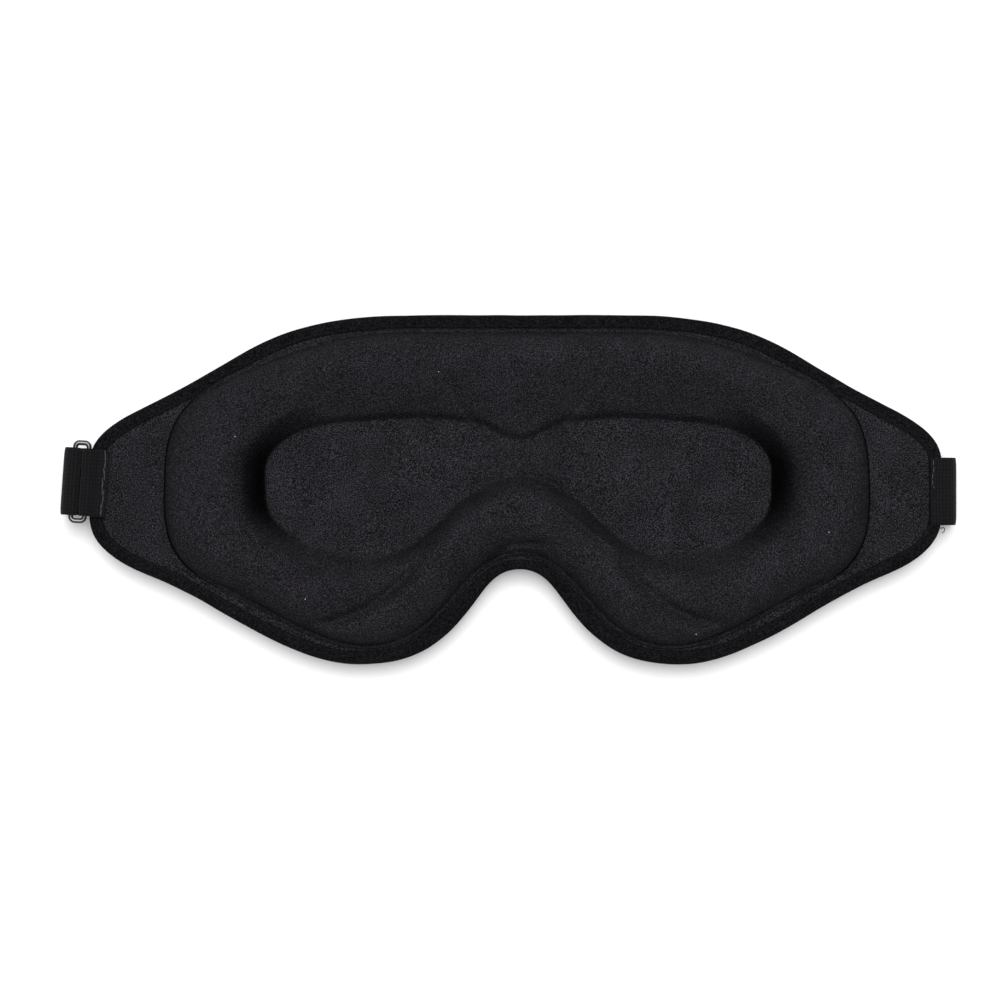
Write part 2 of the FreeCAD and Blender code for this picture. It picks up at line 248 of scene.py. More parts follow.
def distance_to(line, x, y, closed=True):
    """Distance of each point to a line, the index of the nearest point, and True where it is inside."""
    tree = kdtree.KDTree(len(line))
    for k, point in enumerate(line):
        tree.insert((point[0], point[1], 0), k)
    tree.balance()
    flat = np.stack([x.ravel(), y.ravel()], axis=1)
    near = np.array([tree.find((a, b, 0))[1] for a, b in flat])
    best = np.full(len(flat), 1e9)
    last = len(line) - 1
    for step in (-1, 1):
        other = (near + step) % len(line) if closed else np.clip(near + step, 0, last)
        along = line[other] - line[near]
        length = np.maximum((along ** 2).sum(1), 1e-12)
        t = np.clip(((flat - line[near]) * along).sum(1) / length, 0, 1)
        best = np.minimum(best, np.linalg.norm(flat - line[near] - t[:, None] * along, axis=1))
    after, before = (near + 1) % len(line), near - 1
    tangent = line[after] - line[before]
    away = flat - line[near]
    inside = tangent[:, 0] * away[:, 1] - tangent[:, 1] * away[:, 0] < 0
    return best.reshape(x.shape), near.reshape(x.shape), inside.reshape(x.shape)


def ease(low, high, value):
    """0 below low, 1 above high and smooth between them."""
    t = np.clip((value - low) / (high - low), 0, 1)
    return t * t * (3 - 2 * t)


def bell(value, width, power=2):
    return np.exp(-np.abs(value / width) ** power)


def soft_noise(x, y, size, seed):
    """Smooth noise from -1 to 1 with features of about size."""
    flat = zip(x.ravel(), y.ravel())
    values = [noise.noise(Vector((a / size, b / size, seed))) for a, b in flat]
    return np.array(values).reshape(x.shape)


def shifted(x):
    """The mask's middle sits slightly to the right; its ends don't."""
    return x + nose_shift * np.clip(1 - (x / half_width) ** 2, 0, 1)


outer = mirrored_outline(OUTER_SHAPE, half_width, half_height, 1600)
pad_edge = mirrored_outline(PAD_SHAPE, pad_half_width, pad_half_height, 1300)
cup_edge = smooth_closed(
    [(cup_inner_x + along * (cup_outer_x - cup_inner_x), up * (cup_top if up > 0 else cup_bottom))
     for along, up in CUP_SHAPE], 500)


# ---- meshes

def make_object(name, verts, faces, uvs=None, sharp=50.0):
    """Mesh object from millimetre points."""
    mesh = bpy.data.meshes.new(name)
    mesh.from_pydata((np.asarray(verts, float) * MM).tolist(), [], faces)
    mesh.validate()
    mesh.update()
    for polygon in mesh.polygons:
        polygon.use_smooth = True
    mesh.set_sharp_from_angle(angle=math.radians(sharp))
    if uvs is not None:
        layer = mesh.uv_layers.new(name="UVMap")
        for loop in mesh.loops:
            layer.data[loop.index].uv = uvs[loop.vertex_index]
    made = bpy.data.objects.new(name, mesh)
    bpy.context.scene.collection.objects.link(made)
    return made


def spread(low, high, count, radius):
    """Positions from low to high, closer together near both ends."""
    half = (high - low) / 2
    r = min(radius, half)
    quarter = r * math.pi / 2
    total = quarter + half - r
    s = np.linspace(-total, total, count)
    from_end = total - np.abs(s)
    depth = np.where(from_end < quarter, r * (1 - np.cos(np.minimum(from_end / r, math.pi / 2))),
                     r + from_end - quarter)
    return (low + high) / 2 + np.sign(s) * (half - depth)


def column_grid(outline, low, high, columns, rows, radius):
    """Grid of points that fills an outline between two x positions, in columns."""
    start = outline[:, 0].argmin()
    loop = np.roll(outline, -start, 0)
    turn = loop[:, 0].argmax()
    upper = loop[:turn + 1]
    lower = np.vstack([loop[turn:], loop[:1]])[::-1]
    margin = 0.01
    low = max(low, outline[:, 0].min() + margin)
    high = min(high, outline[:, 0].max() - margin)
    xs = spread(low, high, columns, radius)
    tops = np.interp(xs, np.maximum.accumulate(upper[:, 0]), upper[:, 1])
    bottoms = np.interp(xs, np.maximum.accumulate(lower[:, 0]), lower[:, 1])
    y = np.stack([spread(b, t, rows, radius) for b, t in zip(bottoms, tops)])
    x = np.repeat(xs[:, None], rows, axis=1)
    return x, y


def grid_solid(name, x, y, top, bottom, flat_bottom=False):
    """Closed mesh between two height fields on one grid of columns."""
    columns, rows = x.shape
    x = shifted(x)

    def at(i, j):
        return i * rows + j

    faces = [(at(i, j), at(i + 1, j), at(i + 1, j + 1), at(i, j + 1))
             for i in range(columns - 1) for j in range(rows - 1)]
    rim = [(i, 0) for i in range(columns - 1)]
    rim += [(columns - 1, j) for j in range(rows - 1)]
    rim += [(i, rows - 1) for i in range(columns - 1, 0, -1)]
    rim += [(0, j) for j in range(rows - 1, 0, -1)]
    count = columns * rows
    verts = np.stack([x, y, top], axis=-1).reshape(-1, 3)
    if flat_bottom:
        low = np.array([(x[i, j], y[i, j], bottom) for i, j in rim])
        verts = np.vstack([verts, low])
        below = {spot: count + k for k, spot in enumerate(rim)}
        faces.append(tuple(reversed([below[spot] for spot in rim])))
    else:
        verts = np.vstack([verts, np.stack([x, y, bottom], axis=-1).reshape(-1, 3)])
        below = {spot: count + at(*spot) for spot in rim}
        faces += [tuple(count + k for k in reversed(face)) for face in faces]
    for k, spot in enumerate(rim):
        after = rim[(k + 1) % len(rim)]
        faces.append((at(*after), at(*spot), below[spot], below[after]))
    return make_object(name, verts, faces)


# ---- face pad

def mix(first, second, share):
    return first + (second - first) * share


def rise(distance, reach, power):
    """Height from 0 to 1 over a reach, steepest at its start."""
    return 1 - (1 - np.clip(distance / reach, 0, 1)) ** power


def hollow(x, y):
    """Distance outside the eye cups and the channel between them, and what side of them it is."""
    distance, near, inside = distance_to(cup_edge, np.abs(x), y)
    to_cup = np.where(inside, -distance, distance)
    low = channel_low - 0.34 * (np.sqrt(x ** 2 + 9) - 3)
    high = channel_high + 0.42 * (np.sqrt(x ** 2 + 1) - 1)
    to_channel = np.maximum(np.maximum(low - y, y - high), np.abs(x) - channel_half_length)
    near_either = np.exp(-to_cup / channel_join) + np.exp(-to_channel / channel_join)
    away = -channel_join * np.log(near_either)

    point = cup_edge[near]
    along = (point[..., 0] - cup_inner_x) / (cup_outer_x - cup_inner_x)
    up = point[..., 1] / cup_top
    outer_end = ease(0.70, 0.95, along)
    top_side = ease(0.1, 0.7, up) * (1 - outer_end)
    nose_side = (1 - ease(0.36, 0.56, along)) * (1 - ease(0.0, 0.3, up))
    at_channel = ease(-1.5, 1.5, to_cup - to_channel) * ease(-16.0, -11.0, -np.abs(x))
    top_side = mix(top_side, ease(6.0, 12.0, y), at_channel)
    nose_side = mix(nose_side, 1 - ease(6.0, 12.0, y), at_channel)
    return away, to_cup, outer_end, top_side, nose_side


def cup_wall(away, outer_end, top_side, nose_side):
    """How far up the wall round a cup is, from 0 on its floor to 1 on the rim."""
    out = np.maximum(away, 0)
    end_wall = end_wall_share * rise(out, end_wall_reach, end_wall_power)
    end_wall += (1 - end_wall_share) * ease(0, 15, out)
    nose_wall = rise(out, nose_wall_reach, nose_wall_power)
    step = top_step_share * rise(out, top_step_reach, top_wall_power)
    top_wall = step + (1 - top_step_share) * rise(out, top_wall_reach, top_wall_power)
    low_wall = rise(out, low_wall_reach, low_wall_power)
    wall = mix(low_wall, top_wall, top_side)
    wall = mix(wall, nose_wall, nose_side)
    return mix(wall, end_wall, outer_end)


def painted_shade(y, away, outer_end, seam):
    """Painted shade in the pad's colour: dark on the steep outer wall of each cup, where shade falls, and
    a painted shadow in the seam beside each wing.
    """
    on_wall = ease(-0.6, 0.6, away) * (1 - ease(1.0, 12.5, away)) * bell(y - 2.0, 15.0, 3)
    return (1 - 0.90 * outer_end * on_wall) * (1 - 0.85 * seam)


def line_relief(x, y, points, width, height, slope_width=0.0, slope_height=0.0):
    """Narrow ridge, or groove if height is negative, that fades at both ends of a line.
    It may have a broader slope on the line's left side."""
    line = smooth_open(points)
    distance, near, right_side = distance_to(line, x, y, closed=False)
    share = near / (len(line) - 1)
    fade = ease(0, 0.2, share) * (1 - ease(0.74, 1, share))
    relief = height * bell(distance, width)
    if slope_width > 0:
        left_side = ease(-1.2, 1.2, np.where(right_side, -distance, distance))
        relief = relief + slope_height * bell(distance, slope_width) * left_side
    return relief * fade


CHEEK_VALLEY = [
    (25.5, -17.5), (32.0, -25.0), (38.5, -31.0), (45.0, -35.2), (53.5, -38.0), (63.0, -38.6),
]
ARCH_CREASE = [(-14.0, -27.0), (-5.6, -17.3), (1.2, -15.0), (11.0, -15.6)]
BRIDGE_CREASE = [(-14.0, -1.2), (-5.0, 2.9), (0.2, 3.9), (8.5, 0.4)]
NOSE_WRINKLES = [
    ([(9.5, -3.2), (16.0, -8.4), (24.0, -14.4), (29.5, -19.2)], 0.55, 1.2),
    ([(11.0, -5.8), (17.0, -10.6), (23.5, -16.0)], 0.55, 1.0),
]


def pad_creases(x, y, edge_distance, on_pad):
    """Valley on each cheek, creases over the nose arch and bridge, and wrinkles beside the nose."""
    relief = on_pad * line_relief(np.abs(x), y, CHEEK_VALLEY, 2.0, -2.7, 8.0, -2.8)
    near_arch = ease(0.4, 2.0, edge_distance)
    relief += near_arch * line_relief(x, y, ARCH_CREASE, 1.0, -1.9)
    relief += near_arch * line_relief(x, y + 1.9, ARCH_CREASE, 0.8, 1.3)
    relief += line_relief(x, y, BRIDGE_CREASE, 0.8, 0.75)
    for points, width, height in NOSE_WRINKLES:
        relief += line_relief(x, y, points, width, height)
    return relief - 0.3 * bell(edge_distance - 1.5, 0.45) * ease(24, 34, -y)


def edge_gathers(x, y, edge_distance, edge_near):
    """Ribs where the cover is gathered beside each wing, and soft puckers all round the pad."""
    arc = edge_near / len(pad_edge) * pad_perimeter
    inside_edge = ease(0.0, 0.6, edge_distance)
    ribs = np.sin(arc * 2 * math.pi / rib_pitch + 2.0 * soft_noise(x, y, 9.0, 3.0))
    at_right = ease(80, 95, x) * bell(edge_distance - 1.0, 4.2)
    at_left = ease(86, 98, -x) * bell(edge_distance - 1.0, 2.6)
    puckers = np.sin(arc * 2 * math.pi / pucker_pitch + 4.0 * soft_noise(x, y, 14.0, 8.0))
    relief = ribs * (0.30 * at_right + 0.10 * at_left) * inside_edge
    return relief + 0.07 * puckers * bell(edge_distance - 1.4, 1.8) * inside_edge


def pad_relief(x, y):
    """Height of the pad's surface over the lining, distance outside the cups and the painted shade for
    the pad's colour.
    """
    edge_distance, edge_near, _ = distance_to(pad_edge, x, y)
    away, to_cup, outer_end, top_side, nose_side = hollow(x, y)
    wall = cup_wall(away, outer_end, top_side, nose_side)

    at_wings = ease(82, 96, np.abs(x))
    width = mix(ledge_width, ledge_at_wings[0], at_wings)
    height = mix(ledge_height, ledge_at_wings[1], at_wings)
    t = np.clip((edge_distance - width) / pad_rounding, 0, 1)
    rim = (1 - (1 - t) ** 2.1) ** (1 / 1.8)
    mound = mound_height * bell(x, mound_width) * ease(-2.0, 5.0, y)
    relief = (pad_height - height) * rim * wall + (1 - wall) * mound
    relief += height * ease(0, 0.3 + 0.3 * at_wings, edge_distance) * wall
    relief += bead_height * bell(edge_distance - 0.75, 0.35) * (1 - at_wings)
    low_side = ease(4.0, 9.0, -y) * (1 - nose_side)
    relief += cup_bead_height * bell(away + 0.2, 0.6) * low_side

    on_pad = ease(0.15, 0.8, wall) * ease(0.4, 3.0, edge_distance)
    relief += pad_creases(x, y, edge_distance, on_pad)
    relief += edge_gathers(x, y, edge_distance, edge_near)

    broad = soft_noise(x, y, 21.0, 1.0)
    middle = soft_noise(x, y, 7.5, 2.0)
    relief += (0.42 * broad + 0.13 * middle) * on_pad
    on_floor = 1 - ease(0.0, 0.12, wall)
    relief += on_floor * (0.10 + 0.10 * middle)
    # Painted shadow in the crease where the pad meets each wing
    seam = at_wings * bell(edge_distance - 0.2, 0.45)
    return np.maximum(relief, 0.06), to_cup, painted_shade(y, away, outer_end, seam)


def face_pad():
    """Moulded pad, with the lining's fabric on the floors of the cups."""
    x, y = column_grid(pad_edge, -half_width, half_width, 470, 214, 10.0)
    relief, to_cup, shade = pad_relief(x, y)
    pad = grid_solid("face_pad", x, y, base_top + relief, base_top - 0.02, flat_bottom=True)
    rows = x.shape[1]
    for polygon in pad.data.polygons:
        corner = polygon.vertices[0]
        on_floor = corner < x.size and to_cup[corner // rows, corner % rows] < -0.2
        if on_floor and abs(x[corner // rows, 0]) > channel_half_length - 2:
            polygon.material_index = 1
    # Colour layer of painted shade: darkens the pad fabric on the cups' end walls and beside the wings
    layer = pad.data.color_attributes.new("painted_shade", "FLOAT_COLOR", "POINT")
    for vertex, value in enumerate(shade.ravel()):
        layer.data[vertex].color = (value, value, value, 1)
    for vertex in range(x.size, len(pad.data.vertices)):
        layer.data[vertex].color = (1, 1, 1, 1)
    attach(pad, "core")
    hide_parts("pad_cover", "pad_foam")
    return pad


# ---- laminate

def dome_relief(x, y):
    """How far the outer side bulges down over each eye."""
    radius = np.sqrt(((np.abs(x) - dome_centre_x) / dome_half_length) ** 2 + (y / dome_half_height) ** 2)
    return (dome_depth - 0.1) * ease(0.0, 0.5, 1 - radius)


def bend_with_wing(piece):
    """Bakes the piece's placement into its mesh."""
    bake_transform(piece)


def laminate():
    """Lining, foam and outer fabric, each as a left and a right half."""
    edge = inset(outer, laminate_inset + 0.05)
    made = []
    for side, label in ((-1, "left"), (1, "right")):
        low, high = (-half_width, 0) if side < 0 else (0, half_width)
        x, y = column_grid(edge, low, high, 150, 120, 4.0)
        distance, _, _ = distance_to(outer, x, y)
        crown = ease(2.6, 6.5, distance)
        on_wing = ease(97, 104, np.abs(x))
        uneven = soft_noise(x, y, 8.0, 5.0)
        top = base_top - 0.3 + 0.28 * crown + on_wing * crown * (0.12 + 0.16 * uneven)
        lining = grid_solid(label + "_lining_panel", x, y, top, top - lining_wall)
        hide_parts("lining", label + "_wing_lining")
        under = shell_bottom - dome_relief(x, y) + 0.25 * (1 - crown) + 0.08 * uneven * crown
        shell = grid_solid(label + "_outer_panel", x, y, under + shell_wall, under)
        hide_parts("outer_cover", label + "_wing_outer_cover")
        foam_top = top - lining_wall - 0.01
        foam = grid_solid(label + "_foam_layer", x, y, foam_top, under + shell_wall + 0.01)
        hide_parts("base_foam", label + "_wing_base_foam")
        for piece in (lining, shell, foam):
            bend_with_wing(piece)
        made.append((lining, shell, foam))
    return made


# ---- binding

def binding_widths(outline):
    """Visible width of the binding at each point of the outline."""
    x, y = outline[:, 0], outline[:, 1]
    below = ease(-5, 5, -y)
    width = 3.9 - below * 1.0 * bell(x, 9.0) + below * 2.3 * bell(np.abs(x) - 20.0, 7.0)
    wander = [0.18 * noise.noise(Vector((a / 13, b / 13, 4.0))) for a, b in outline]
    to_pad, _, _ = distance_to(pad_edge, x, y)
    return np.minimum(width + np.array(wander), to_pad - 0.25)


def half_path(side):
    """Indices of the outline on one side, in order, both middles included."""
    count = len(outer)
    bottom = count // 2
    return list(range(bottom + 1)) if side > 0 else list(range(bottom, count)) + [0]


def binding_half(side, label, widths):
    """Tape rolled round the edge, dented where the stitches pull it down."""
    ins = inwards_of(outer)
    perimeter = np.linalg.norm(np.roll(outer, -1, 0) - outer, axis=1).sum()
    top, bottom = binding_top, binding_bottom
    verts = []
    path = half_path(side)
    for k in path:
        w = widths[k]
        s = k / len(outer) * perimeter
        px, py = outer[k]
        dent = 0.09 * math.cos(2 * math.pi * s / stitch_pitch)
        lump = 0.10 * noise.noise(Vector((px / 5, py / 5, 6.0)))
        roll = 0.12 * noise.noise(Vector((px / 9, py / 9, 7.0)))
        section = [
            (w + 0.1 * dent, base_top - 0.25), (w + 0.1 * dent, top - 0.18 + dent * 0.5),
            (w - 0.35, top - 0.02 + dent), (w - 0.95, top - 0.10 + dent),
            (w * 0.58, top + 0.06 + lump), (1.3, top + 0.02 + lump),
            (0.75 + roll, top - 0.16), (0.32 + roll, top - 0.55),
            (0.08 + roll, top - 1.1), (0.0 + roll, 9.5), (0.08 + roll, bottom + 1.1),
            (0.32 + roll, bottom + 0.55), (0.75 + roll, bottom + 0.16),
            (1.4, bottom + 0.02), (w * 0.6, bottom), (w - 0.6, bottom + 0.06),
            (w - 0.1, bottom + 0.14), (w, shell_bottom + 0.1),
            (laminate_inset, shell_bottom + 0.1), (laminate_inset, base_top - 0.25),
        ]
        for n, z in section:
            point = outer[k] + ins[k] * n
            verts.append((shifted(point[0]), point[1], z))
    ring = len(section)
    faces = []
    for i in range(len(path) - 1):
        for j in range(ring):
            a, b = i * ring + j, i * ring + (j + 1) % ring
            faces.append((b, a, a + ring, b + ring))
    tape = make_object(label + "_binding_tape", verts, faces, sharp=60)
    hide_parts("binding", label + "_wing_binding")
    return tape


def stitch_mesh(centres, directions, length, radius):
    """Small rounded stitches: their points and faces."""
    verts, faces = [], []
    sides = 6
    profile = [(-0.5, 0.15, -0.9), (-0.4, 0.8, -0.25), (-0.15, 1.0, 0.1), (0.15, 1.0, 0.1),
               (0.4, 0.8, -0.25), (0.5, 0.15, -0.9)]
    for centre, direction in zip(centres, directions):
        along = np.array(direction, float)
        along /= np.linalg.norm(along)
        across = np.cross((0, 0, 1.0), along)
        across /= np.linalg.norm(across)
        rise = np.cross(along, across)
        first = len(verts)
        for share, size, lift in profile:
            middle = np.array(centre) + along * share * length + rise * lift * radius
            for k in range(sides):
                a = 2 * math.pi * k / sides
                verts.append(middle + radius * size * (across * math.cos(a) + rise * math.sin(a)))
        for ring in range(len(profile) - 1):
            for k in range(sides):
                a, b = first + ring * sides + k, first + ring * sides + (k + 1) % sides
                faces.append((a, b, b + sides, a + sides))
        faces.append(tuple(first + k for k in reversed(range(sides))))
        faces.append(tuple(first + (len(profile) - 1) * sides + k for k in range(sides)))
    return verts, faces


def binding_stitches(side, label, widths):
    """Row of stitches just inside the binding's edge."""
    ins = inwards_of(outer)
    spacing = np.linalg.norm(outer[1] - outer[0])
    path = half_path(side)
    step = stitch_pitch / spacing
    centres, directions = [], []
    position = step / 2
    while position < len(path) - 1:
        k = path[int(position)]
        n = widths[k] - stitch_inset
        point = outer[k] + ins[k] * n
        lean = 0.05 + 0.05 * rng.uniform(-1, 1)
        along = np.array((-ins[k][1], ins[k][0]))
        direction = (along[0] + lean * ins[k][0], along[1] + lean * ins[k][1], 0)
        centres.append((shifted(point[0]), point[1], binding_top - 0.02))
        directions.append(direction)
        position += step
    verts, faces = stitch_mesh(centres, directions, stitch_length, stitch_radius)
    seam = make_object(label + "_binding_stitches", verts, faces, sharp=180)
    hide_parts("binding_thread", label + "_wing_binding_thread")
    return seam


def edges():
    widths = binding_widths(outer)
    made = []
    for side, label in ((-1, "left"), (1, "right")):
        tape = binding_half(side, label, widths)
        seam = binding_stitches(side, label, widths)
        bend_with_wing(tape)
        bend_with_wing(seam)
        made.append((tape, seam))
    return made


# ---- webbing

def walk(x, z, heading, moves, step=0.9):
    """Middle line of webbing seen edge-on: ("go", length) and ("turn", radius, degrees to the left)."""
    a = math.radians(heading)
    rows = [(x, z, a)]
    for move in moves:
        x, z, a = rows[-1]
        if move[0] == "go":
            count = max(1, int(move[1] / step))
            for k in range(1, count + 1):
                d = move[1] * k / count
                rows.append((x + d * math.cos(a), z + d * math.sin(a), a))
            continue
        radius, turn = move[1], math.radians(move[2])
        sign = 1 if turn > 0 else -1
        middle_x = x - sign * radius * math.sin(a)
        middle_z = z + sign * radius * math.cos(a)
        count = max(3, int(abs(move[2]) / 9))
        for k in range(1, count + 1):
            b = a + turn * k / count
            reach = sign * radius
            rows.append((middle_x + reach * math.sin(b), middle_z - reach * math.cos(b), b))
    line = np.array(rows)
    steps = np.linalg.norm(np.diff(line[:, :2], axis=0), axis=1)
    return np.column_stack([line, np.concatenate([[0.0], np.cumsum(steps)])])


def ramp(rise):
    """Moves that raise the webbing by rise, or lower it, and the length they take."""
    sign = 1 if rise > 0 else -1
    angle = math.radians(ramp_angle)
    slant = (abs(rise) - 2 * ramp_radius * (1 - math.cos(angle))) / math.sin(angle)
    length = 2 * ramp_radius * math.sin(angle) + slant * math.cos(angle)
    moves = [("turn", ramp_radius, sign * ramp_angle), ("go", slant),
             ("turn", ramp_radius, -sign * ramp_angle)]
    return moves, length


def stretch_of(line, low, high):
    """Part of a middle line between two lengths along it."""
    s = line[:, 3]
    inside = line[(s > low + 1e-6) & (s < high - 1e-6)]

    def at(value):
        return [np.interp(value, s, line[:, k]) for k in range(4)]

    return np.vstack([at(low), inside, at(high)])


def first_at(line, x):
    """Length along the line where it first comes to x."""
    passed = (line[:, 0] - x) * (line[0, 0] - x) <= 0
    k = int(np.argmax(passed))
    a, b = line[k - 1], line[k]
    return a[3] + (b[3] - a[3]) * (x - a[0]) / (b[0] - a[0])


def centre_y_at(x):
    """Where the webbing's middle lies across the mask, and how far it is turned."""
    left = ease(90, 112, -x)
    right = ease(90, 106, x)
    tilted_y = ring_centre_y + (x + inner_bar_x) * math.tan(ring_tilt)
    y = strap_centre_y + left * (tilted_y - strap_centre_y) + right * (anchor_centre_y - strap_centre_y)
    return y, left * ring_tilt


def webbing(name, lines, ends=()):
    """Flat elastic webbing along one or more middle lines; ends lists which of them are closed off."""
    shares = [-1.0, -0.985, -0.94, -0.82, -0.6, -0.35, 0.0, 0.35, 0.6, 0.82, 0.94, 0.985, 1.0]
    ring = 2 * len(shares)
    verts, faces, uvs = [], [], []
    for number, line in enumerate(lines):
        first = len(verts)
        for x, z, a, s in line:
            y, tilt = centre_y_at(x)
            narrow = 1 - 0.006 * (1 + noise.noise(Vector((s / 7, number, 2.0))))
            for top in (1, -1):
                for share in shares if top > 0 else reversed(shares):
                    v = share * webbing_width / 2 * narrow
                    h = top * webbing_thickness / 2 * (0.97 - 0.6 * abs(share) ** 14)
                    px, pz = x - h * math.sin(a), z + h * math.cos(a)
                    verts.append((px - v * math.sin(tilt), y + v * math.cos(tilt), pz))
                    uvs.append((s / 10, v / 10))
        for i in range(len(line) - 1):
            for j in range(ring):
                p, q = first + i * ring + j, first + i * ring + (j + 1) % ring
                faces.append((p, q, q + ring, p + ring))
        if (number, 0) in ends:
            faces.append(tuple(first + j for j in reversed(range(ring))))
        if (number, 1) in ends:
            faces.append(tuple(first + (len(line) - 1) * ring + j for j in range(ring)))
    band = make_object(name, verts, faces, uvs, sharp=60)
    return band


def left_strap_line():
    """Both layers left of the slider, with the loop round the ring's outer bar between them."""
    outside_x = outer_bar_x + fold_reach - webbing_thickness / 2
    inside_x = outside_x - layer_step
    inner_radius = fold_radius - layer_step
    outer_top, inner_top = ring_z + wrap_radius, ring_z - wrap_radius
    up = outer_top - floor_layer_z - 2 * fold_radius
    down = inner_top - second_layer_z - 2 * inner_radius
    moves = [
        ("go", outside_x - fold_radius + SLIDER_LEFT), ("turn", fold_radius, -90), ("go", up),
        ("turn", fold_radius, -90), ("go", outside_x - fold_radius - outer_bar_x),
        ("turn", wrap_radius, -180), ("go", inside_x - inner_radius - outer_bar_x),
        ("turn", inner_radius, 90), ("go", down), ("turn", inner_radius, 90),
        ("go", inside_x - inner_radius + SLIDER_LEFT),
    ]
    return walk(SLIDER_LEFT, floor_layer_z, 180, moves)


def right_strap_line():
    """From the slider's left side over its middle bar, along the table and up to the right wing."""
    first, first_length = ramp(third_layer_z - second_layer_z)
    rise, rise_length = ramp(hump_z - third_layer_z)
    fall, fall_length = ramp(floor_layer_z - hump_z)
    tail_start = slider_x - loop_tail - first_length - 0.3
    hump_start = slider_x - bar_edge - rise_length - layer_step * math.tan(math.radians(ramp_angle / 2))
    hump_end = slider_x + bar_edge + slider_loop_radius + webbing_thickness
    outside_x = half_width + anchor_reach - webbing_thickness / 2
    rise_to_wing = tab_bottom_z - floor_layer_z - 2 * fold_radius
    moves = [("go", tail_start - SLIDER_LEFT)] + first
    moves.append(("go", hump_start - tail_start - first_length))
    moves += rise
    moves.append(("go", hump_end - hump_start - rise_length))
    moves += fall
    moves += [
        ("go", outside_x - fold_radius - hump_end - fall_length), ("turn", fold_radius, 90),
        ("go", rise_to_wing), ("turn", fold_radius, 90),
        ("go", outside_x - fold_radius - half_width + anchor_length),
    ]
    return walk(SLIDER_LEFT, second_layer_z, 0, moves)


def slider_loop_line():
    """Strap end that goes round the slider's middle bar and back to its tack."""
    down, down_length = ramp(second_layer_z - floor_layer_z - 2 * slider_loop_radius)
    tail = loop_tail + bar_edge
    moves = [("go", tail + slider_x - loop_tail - SLIDER_LEFT), ("turn", slider_loop_radius, 180),
             ("go", 2 * bar_edge)]
    moves += down
    moves.append(("go", tail - 2 * bar_edge - down_length - 1))
    return walk(SLIDER_LEFT, floor_layer_z, 0, moves)


def tab_line():
    """From the sewn end of the tab's upper layer round the ring's inner bar and back under it."""
    slope = math.radians(tab_slope)
    drop = 2 * wrap_radius - layer_step
    curved = (wrap_radius + tab_bend_radius) * (1 - math.cos(slope))
    slant = (drop - curved) / math.sin(slope)
    used = (wrap_radius + tab_bend_radius) * math.sin(slope) + slant * math.cos(slope)
    moves = [("go", tab_length), ("turn", wrap_radius, -180 - tab_slope), ("go", slant),
             ("turn", tab_bend_radius, tab_slope), ("go", tab_length - used)]
    return walk(-inner_bar_x + tab_length, tab_bottom_z, 180, moves)


def strap():
    """The strap in pieces that follow the ring, the wings, the mask and the slider."""
    line = left_strap_line()
    back = line[::-1].copy()
    end = line[-1, 3]
    back[:, 3] = end - back[:, 3]
    marks = [RUN_LEFT, -DROP_END, -WING_END, RING_END]
    lower = [0.0] + [first_at(line, x) for x in marks]
    upper = [end] + [end - first_at(back, x) for x in marks]
    names = ["strap_left_run", "strap_left_drop", "strap_left_wing", "strap_ring_side"]
    runs = {}
    for k, name in enumerate(names):
        layers = [stretch_of(line, lower[k], lower[k + 1]), stretch_of(line, upper[k + 1], upper[k])]
        runs[name] = webbing(name, layers)
    loop = webbing("strap_loop_on_ring", [stretch_of(line, lower[-1], upper[-1])])
    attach(loop, "ring")
    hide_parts("strap_ring_loop")
    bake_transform(runs["strap_ring_side"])
    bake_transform(runs["strap_left_wing"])
    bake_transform(runs["strap_left_drop"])
    run = runs["strap_left_run"]
    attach(run, "strap")
    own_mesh(run)
    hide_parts("strap_return", "strap_run")

    right = right_strap_line()
    cuts = [0.0] + [first_at(right, x) for x in (SLIDER_RIGHT, RUN_RIGHT, DROP_END, WING_END)]
    cuts.append(right[-1, 3])
    hump = webbing("strap_over_slider", [stretch_of(right, cuts[0], cuts[1])])
    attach(hump, "slider")
    middle = webbing("strap_right_run", [stretch_of(right, cuts[1], cuts[2])])
    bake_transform(middle)
    drop = webbing("strap_right_drop", [stretch_of(right, cuts[2], cuts[3])])
    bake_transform(drop)
    wing = webbing("strap_right_wing", [stretch_of(right, cuts[3], cuts[4])])
    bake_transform(wing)
    anchor = webbing("strap_sewn_end", [stretch_of(right, cuts[4], cuts[5])], ends=[(0, 1)])
    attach(anchor, "right_wing")
    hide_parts("strap_anchor")
    loop_line = slider_loop_line()
    slider_loop = webbing("strap_end_loop", [loop_line], ends=[(0, 1)])
    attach(slider_loop, "slider")
    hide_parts("strap_slider_loop")
    tab = webbing("ring_tab_webbing", [tab_line()], ends=[(0, 0), (0, 1)])
    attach(tab, "left_wing")
    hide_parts("ring_tab")
    return [*runs.values(), loop, hump, middle, drop, wing, anchor, slider_loop, tab]


def sewn_row(name, body, x, z, tilt, low, high, replaced, rows=1, centre_y=None, dark_below=-100.0):
    """Row of thread across the webbing, slightly uneven, in the second material below dark_below."""
    if centre_y is None:
        centre_y = centre_y_at(x)[0]
    centres, directions = [], []
    for row in range(rows):
        v = low + 0.4 * row
        while v < high:
            across = 0.32 * rng.uniform(-1, 1) + 0.2 * row
            centres.append((x + across - v * math.sin(tilt), centre_y + v * math.cos(tilt), z))
            directions.append((-math.sin(tilt) + 0.18 * rng.uniform(-1, 1), math.cos(tilt), 0))
            v += tack_pitch + 0.12 * rng.uniform(-1, 1)
    verts, faces = stitch_mesh(centres, directions, tack_length, tack_radius)
    row_piece = make_object(name, verts, faces, sharp=180)
    for polygon in row_piece.data.polygons:
        if polygon.center.y < dark_below * MM:
            polygon.material_index = 1
    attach(row_piece, body)
    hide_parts(replaced)
    return row_piece


